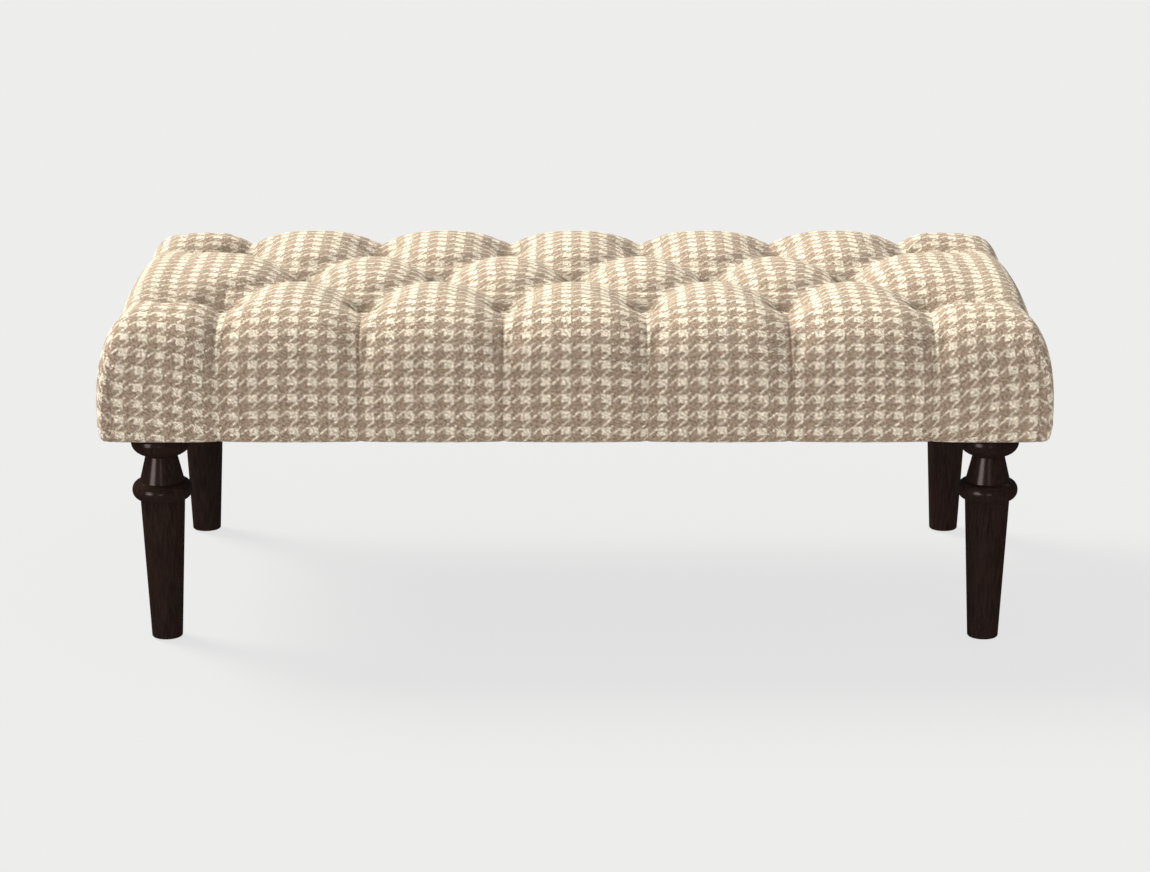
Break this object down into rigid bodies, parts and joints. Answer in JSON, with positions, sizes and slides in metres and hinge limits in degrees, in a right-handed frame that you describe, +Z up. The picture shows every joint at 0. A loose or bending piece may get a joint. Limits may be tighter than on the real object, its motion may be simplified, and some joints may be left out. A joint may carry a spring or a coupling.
{
  "type": "button tufted footstool",
  "caption": "Long upholstered footstool with a diamond tufted, buttoned seat in houndstooth cloth on dark turned wooden legs.",
  "frame": {"origin": "on the floor, under the middle of the seat", "axes": "+X along the seat's length, +Y from front to back, +Z up"},
  "size_m": [1.232, 0.622, 0.451],
  "materials": {
    "frame_wood": "rough sawn softwood, hidden",
    "plywood": "plywood sheet, hidden",
    "block_wood": "hardwood block, hidden",
    "leg_wood": "turned hardwood, dark espresso stain, satin lacquer",
    "glide_plastic": "moulded nylon",
    "plated_steel": "zinc plated",
    "screw_steel": "yellow zinc plated",
    "foam": "firm polyurethane foam",
    "wadding": "soft polyester wadding",
    "cover_cloth": "cream and taupe woven houndstooth",
    "button_cloth": "cream and taupe woven houndstooth",
    "dust_cloth": "black spun-bonded cloth",
    "twine": "waxed polyester twine"
  },
  "bodies": {
    "root": {"rail_front": "frame_wood", "rail_back": "frame_wood", "rail_left": "frame_wood", "rail_right": "frame_wood", "brace_left": "frame_wood", "brace_right": "frame_wood", "deck": "plywood", "corner_block_front_left": "block_wood", "corner_block_front_right": "block_wood", "corner_block_back_left": "block_wood", "corner_block_back_right": "block_wood", "leg_front_left": "leg_wood", "leg_front_right": "leg_wood", "leg_back_left": "leg_wood", "leg_back_right": "leg_wood", "glide_front_left": "glide_plastic", "glide_front_right": "glide_plastic", "glide_back_left": "glide_plastic", "glide_back_right": "glide_plastic", "tee_nuts": "plated_steel", "hanger_bolts": "plated_steel", "frame_screws": "screw_steel", "block_screws": "screw_steel", "brace_screws": "screw_steel", "deck_screws": "screw_steel", "foam_sheet": "foam", "padding": "wadding", "cover": "cover_cloth", "dust_cover": "dust_cloth", "staples": "plated_steel", "button_front_1": "button_cloth", "button_front_2": "button_cloth", "button_front_3": "button_cloth", "button_front_4": "button_cloth", "button_front_5": "button_cloth", "button_front_6": "button_cloth", "button_middle_1": "button_cloth", "button_middle_2": "button_cloth", "button_middle_3": "button_cloth", "button_middle_4": "button_cloth", "button_middle_5": "button_cloth", "button_back_1": "button_cloth", "button_back_2": "button_cloth", "button_back_3": "button_cloth", "button_back_4": "button_cloth", "button_back_5": "button_cloth", "button_back_6": "button_cloth", "button_eyes": "plated_steel", "tufting_twines": "twine", "twine_washers": "plated_steel"}
  },
  "joints": []
}
